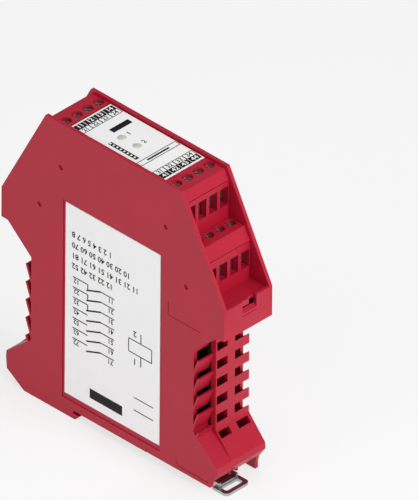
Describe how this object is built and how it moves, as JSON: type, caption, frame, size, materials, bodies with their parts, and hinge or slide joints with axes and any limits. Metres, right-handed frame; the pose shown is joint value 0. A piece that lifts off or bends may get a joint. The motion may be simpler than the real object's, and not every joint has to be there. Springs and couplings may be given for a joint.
{
  "type": "safety relay",
  "caption": "Red DIN-rail safety relay module with stepped screw terminals, vented sides, two lamps and a sprung rail slide.",
  "frame": {"origin": "middle of the rail seat plane, mid-width, midway between the rail edges", "axes": "+Z away from the rail towards the front plate, +X along the length towards the slide, +Y across the width away from the labelled side"},
  "size_m": [0.1028, 0.0226, 0.1146],
  "materials": {
    "case_red": "satin",
    "foil_white": "satin",
    "lens": "gloss",
    "board_green": "satin",
    "relay_case": "satin",
    "can": "satin",
    "zinc_sheet": "satin",
    "contact_tin": "satin",
    "clamp_steel": "satin",
    "screw_steel": "satin"
  },
  "bodies": {
    "case": {"housing": "case_red", "side_cover": "case_red", "front_plate": "case_red", "top_label": "foil_white", "side_label": "foil_white", "led_lens_1": "lens", "led_lens_2": "lens", "block_upper_l": "case_red", "block_lower_l": "case_red", "block_upper_r": "case_red", "block_lower_r": "case_red", "bars_upper_l": "contact_tin", "bars_lower_l": "contact_tin", "bars_upper_r": "contact_tin", "bars_lower_r": "contact_tin", "main_board": "board_green", "relay_1": "relay_case", "relay_2": "relay_case", "relay_3": "relay_case", "capacitor": "can"},
    "rail_latch": {"rail_latch": "zinc_sheet"},
    "screw_upper_l_1": {"screw_upper_l_1": "screw_steel"},
    "cage_upper_l_1": {"cage_upper_l_1": "clamp_steel"},
    "screw_upper_l_2": {"screw_upper_l_2": "screw_steel"},
    "cage_upper_l_2": {"cage_upper_l_2": "clamp_steel"},
    "screw_upper_l_3": {"screw_upper_l_3": "screw_steel"},
    "cage_upper_l_3": {"cage_upper_l_3": "clamp_steel"},
    "screw_upper_l_4": {"screw_upper_l_4": "screw_steel"},
    "cage_upper_l_4": {"cage_upper_l_4": "clamp_steel"},
    "screw_lower_l_1": {"screw_lower_l_1": "screw_steel"},
    "cage_lower_l_1": {"cage_lower_l_1": "clamp_steel"},
    "screw_lower_l_2": {"screw_lower_l_2": "screw_steel"},
    "cage_lower_l_2": {"cage_lower_l_2": "clamp_steel"},
    "screw_lower_l_3": {"screw_lower_l_3": "screw_steel"},
    "cage_lower_l_3": {"cage_lower_l_3": "clamp_steel"},
    "screw_lower_l_4": {"screw_lower_l_4": "screw_steel"},
    "cage_lower_l_4": {"cage_lower_l_4": "clamp_steel"},
    "screw_upper_r_1": {"screw_upper_r_1": "screw_steel"},
    "cage_upper_r_1": {"cage_upper_r_1": "clamp_steel"},
    "screw_upper_r_2": {"screw_upper_r_2": "screw_steel"},
    "cage_upper_r_2": {"cage_upper_r_2": "clamp_steel"},
    "screw_upper_r_3": {"screw_upper_r_3": "screw_steel"},
    "cage_upper_r_3": {"cage_upper_r_3": "clamp_steel"},
    "screw_upper_r_4": {"screw_upper_r_4": "screw_steel"},
    "cage_upper_r_4": {"cage_upper_r_4": "clamp_steel"},
    "screw_lower_r_1": {"screw_lower_r_1": "screw_steel"},
    "cage_lower_r_1": {"cage_lower_r_1": "clamp_steel"},
    "screw_lower_r_2": {"screw_lower_r_2": "screw_steel"},
    "cage_lower_r_2": {"cage_lower_r_2": "clamp_steel"},
    "screw_lower_r_3": {"screw_lower_r_3": "screw_steel"},
    "cage_lower_r_3": {"cage_lower_r_3": "clamp_steel"},
    "screw_lower_r_4": {"screw_lower_r_4": "screw_steel"},
    "cage_lower_r_4": {"cage_lower_r_4": "clamp_steel"}
  },
  "joints": [
    {"name": "rail_latch_pull", "type": "slide", "parent": "case", "child": "rail_latch", "axis": [1, 0, 0], "range_m": [0, 0.0045], "stiffness_N_per_m": 400, "springref_m": -0.002},
    {"name": "screw_upper_l_1_turn", "type": "hinge", "parent": "case", "child": "screw_upper_l_1", "pos_m": [-0.0255, -0.00762, 0.1104], "axis": [0, 0, -1], "range_deg": [0, 2016.2]},
    {"name": "cage_upper_l_1_lift", "type": "slide", "parent": "case", "child": "cage_upper_l_1", "axis": [0, 0, 1], "range_m": [0, 0.0028]},
    {"name": "screw_upper_l_2_turn", "type": "hinge", "parent": "case", "child": "screw_upper_l_2", "pos_m": [-0.0255, -0.00254, 0.1104], "axis": [0, 0, -1], "range_deg": [0, 2016.2]},
    {"name": "cage_upper_l_2_lift", "type": "slide", "parent": "case", "child": "cage_upper_l_2", "axis": [0, 0, 1], "range_m": [0, 0.0028]},
    {"name": "screw_upper_l_3_turn", "type": "hinge", "parent": "case", "child": "screw_upper_l_3", "pos_m": [-0.0255, 0.00254, 0.1104], "axis": [0, 0, -1], "range_deg": [0, 2016.2]},
    {"name": "cage_upper_l_3_lift", "type": "slide", "parent": "case", "child": "cage_upper_l_3", "axis": [0, 0, 1], "range_m": [0, 0.0028]},
    {"name": "screw_upper_l_4_turn", "type": "hinge", "parent": "case", "child": "screw_upper_l_4", "pos_m": [-0.0255, 0.00762, 0.1104], "axis": [0, 0, -1], "range_deg": [0, 2016.2]},
    {"name": "cage_upper_l_4_lift", "type": "slide", "parent": "case", "child": "cage_upper_l_4", "axis": [0, 0, 1], "range_m": [0, 0.0028]},
    {"name": "screw_lower_l_1_turn", "type": "hinge", "parent": "case", "child": "screw_lower_l_1", "pos_m": [-0.0353, -0.00762, 0.0921], "axis": [0, 0, -1], "range_deg": [0, 2016.2]},
    {"name": "cage_lower_l_1_lift", "type": "slide", "parent": "case", "child": "cage_lower_l_1", "axis": [0, 0, 1], "range_m": [0, 0.0028]},
    {"name": "screw_lower_l_2_turn", "type": "hinge", "parent": "case", "child": "screw_lower_l_2", "pos_m": [-0.0353, -0.00254, 0.0921], "axis": [0, 0, -1], "range_deg": [0, 2016.2]},
    {"name": "cage_lower_l_2_lift", "type": "slide", "parent": "case", "child": "cage_lower_l_2", "axis": [0, 0, 1], "range_m": [0, 0.0028]},
    {"name": "screw_lower_l_3_turn", "type": "hinge", "parent": "case", "child": "screw_lower_l_3", "pos_m": [-0.0353, 0.00254, 0.0921], "axis": [0, 0, -1], "range_deg": [0, 2016.2]},
    {"name": "cage_lower_l_3_lift", "type": "slide", "parent": "case", "child": "cage_lower_l_3", "axis": [0, 0, 1], "range_m": [0, 0.0028]},
    {"name": "screw_lower_l_4_turn", "type": "hinge", "parent": "case", "child": "screw_lower_l_4", "pos_m": [-0.0353, 0.00762, 0.0921], "axis": [0, 0, -1], "range_deg": [0, 2016.2]},
    {"name": "cage_lower_l_4_lift", "type": "slide", "parent": "case", "child": "cage_lower_l_4", "axis": [0, 0, 1], "range_m": [0, 0.0028]},
    {"name": "screw_upper_r_1_turn", "type": "hinge", "parent": "case", "child": "screw_upper_r_1", "pos_m": [0.0255, -0.00762, 0.1104], "axis": [0, 0, -1], "range_deg": [0, 2016.2]},
    {"name": "cage_upper_r_1_lift", "type": "slide", "parent": "case", "child": "cage_upper_r_1", "axis": [0, 0, 1], "range_m": [0, 0.0028]},
    {"name": "screw_upper_r_2_turn", "type": "hinge", "parent": "case", "child": "screw_upper_r_2", "pos_m": [0.0255, -0.00254, 0.1104], "axis": [0, 0, -1], "range_deg": [0, 2016.2]},
    {"name": "cage_upper_r_2_lift", "type": "slide", "parent": "case", "child": "cage_upper_r_2", "axis": [0, 0, 1], "range_m": [0, 0.0028]},
    {"name": "screw_upper_r_3_turn", "type": "hinge", "parent": "case", "child": "screw_upper_r_3", "pos_m": [0.0255, 0.00254, 0.1104], "axis": [0, 0, -1], "range_deg": [0, 2016.2]},
    {"name": "cage_upper_r_3_lift", "type": "slide", "parent": "case", "child": "cage_upper_r_3", "axis": [0, 0, 1], "range_m": [0, 0.0028]},
    {"name": "screw_upper_r_4_turn", "type": "hinge", "parent": "case", "child": "screw_upper_r_4", "pos_m": [0.0255, 0.00762, 0.1104], "axis": [0, 0, -1], "range_deg": [0, 2016.2]},
    {"name": "cage_upper_r_4_lift", "type": "slide", "parent": "case", "child": "cage_upper_r_4", "axis": [0, 0, 1], "range_m": [0, 0.0028]},
    {"name": "screw_lower_r_1_turn", "type": "hinge", "parent": "case", "child": "screw_lower_r_1", "pos_m": [0.0353, -0.00762, 0.0921], "axis": [0, 0, -1], "range_deg": [0, 2016.2]},
    {"name": "cage_lower_r_1_lift", "type": "slide", "parent": "case", "child": "cage_lower_r_1", "axis": [0, 0, 1], "range_m": [0, 0.0028]},
    {"name": "screw_lower_r_2_turn", "type": "hinge", "parent": "case", "child": "screw_lower_r_2", "pos_m": [0.0353, -0.00254, 0.0921], "axis": [0, 0, -1], "range_deg": [0, 2016.2]},
    {"name": "cage_lower_r_2_lift", "type": "slide", "parent": "case", "child": "cage_lower_r_2", "axis": [0, 0, 1], "range_m": [0, 0.0028]},
    {"name": "screw_lower_r_3_turn", "type": "hinge", "parent": "case", "child": "screw_lower_r_3", "pos_m": [0.0353, 0.00254, 0.0921], "axis": [0, 0, -1], "range_deg": [0, 2016.2]},
    {"name": "cage_lower_r_3_lift", "type": "slide", "parent": "case", "child": "cage_lower_r_3", "axis": [0, 0, 1], "range_m": [0, 0.0028]},
    {"name": "screw_lower_r_4_turn", "type": "hinge", "parent": "case", "child": "screw_lower_r_4", "pos_m": [0.0353, 0.00762, 0.0921], "axis": [0, 0, -1], "range_deg": [0, 2016.2]},
    {"name": "cage_lower_r_4_lift", "type": "slide", "parent": "case", "child": "cage_lower_r_4", "axis": [0, 0, 1], "range_m": [0, 0.0028]}
  ],
  "couplings": [
    {"joint": "screw_upper_l_1_turn", "follows": "cage_upper_l_1_lift", "rad_per_m": 12566},
    {"joint": "screw_upper_l_2_turn", "follows": "cage_upper_l_2_lift", "rad_per_m": 12566},
    {"joint": "screw_upper_l_3_turn", "follows": "cage_upper_l_3_lift", "rad_per_m": 12566},
    {"joint": "screw_upper_l_4_turn", "follows": "cage_upper_l_4_lift", "rad_per_m": 12566},
    {"joint": "screw_lower_l_1_turn", "follows": "cage_lower_l_1_lift", "rad_per_m": 12566},
    {"joint": "screw_lower_l_2_turn", "follows": "cage_lower_l_2_lift", "rad_per_m": 12566},
    {"joint": "screw_lower_l_3_turn", "follows": "cage_lower_l_3_lift", "rad_per_m": 12566},
    {"joint": "screw_lower_l_4_turn", "follows": "cage_lower_l_4_lift", "rad_per_m": 12566},
    {"joint": "screw_upper_r_1_turn", "follows": "cage_upper_r_1_lift", "rad_per_m": 12566},
    {"joint": "screw_upper_r_2_turn", "follows": "cage_upper_r_2_lift", "rad_per_m": 12566},
    {"joint": "screw_upper_r_3_turn", "follows": "cage_upper_r_3_lift", "rad_per_m": 12566},
    {"joint": "screw_upper_r_4_turn", "follows": "cage_upper_r_4_lift", "rad_per_m": 12566},
    {"joint": "screw_lower_r_1_turn", "follows": "cage_lower_r_1_lift", "rad_per_m": 12566},
    {"joint": "screw_lower_r_2_turn", "follows": "cage_lower_r_2_lift", "rad_per_m": 12566},
    {"joint": "screw_lower_r_3_turn", "follows": "cage_lower_r_3_lift", "rad_per_m": 12566},
    {"joint": "screw_lower_r_4_turn", "follows": "cage_lower_r_4_lift", "rad_per_m": 12566}
  ]
}
